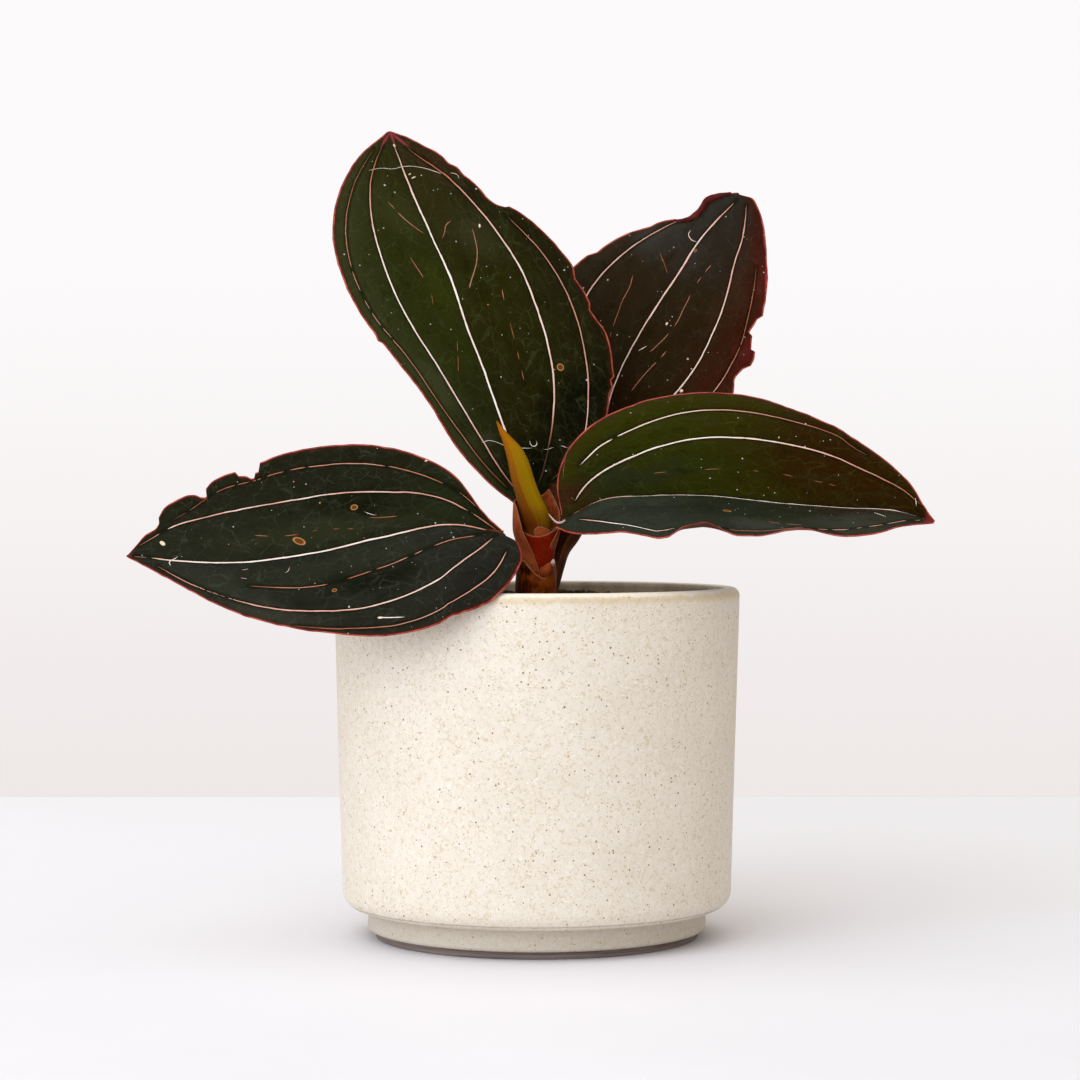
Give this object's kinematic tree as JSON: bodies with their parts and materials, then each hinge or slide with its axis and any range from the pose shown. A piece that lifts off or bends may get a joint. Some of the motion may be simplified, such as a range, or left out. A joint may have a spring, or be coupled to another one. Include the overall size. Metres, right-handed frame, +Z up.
{
  "type": "potted jewel orchid",
  "caption": "Jewel orchid with dark, pale-veined leaves and a rolled new leaf on one short stem, rooted in bark mix in a round footed stoneware pot.",
  "frame": {"origin": "the middle of the pot's flat underside, on the surface it stands on", "axes": "+Z up, -Y the front seen in the picture, +X to the picture's right"},
  "size_m": [0.1739, 0.0935, 0.1812],
  "materials": {
    "stoneware": "cream speckled stoneware with a satin glaze",
    "bark_mix": "damp dark bark potting mix",
    "stem": "smooth red-brown fleshy stem",
    "leaf": "green-black velvety leaf with pale and copper veins and a red edge",
    "new_leaf": "smooth yellow-green rolled leaf"
  },
  "bodies": {
    "root": {"pot": "stoneware", "soil": "bark_mix", "stem": "stem", "leaf_tall": "leaf", "leaf_left": "leaf", "leaf_right": "leaf", "leaf_back": "leaf", "leaf_new": "new_leaf"}
  },
  "joints": []
}
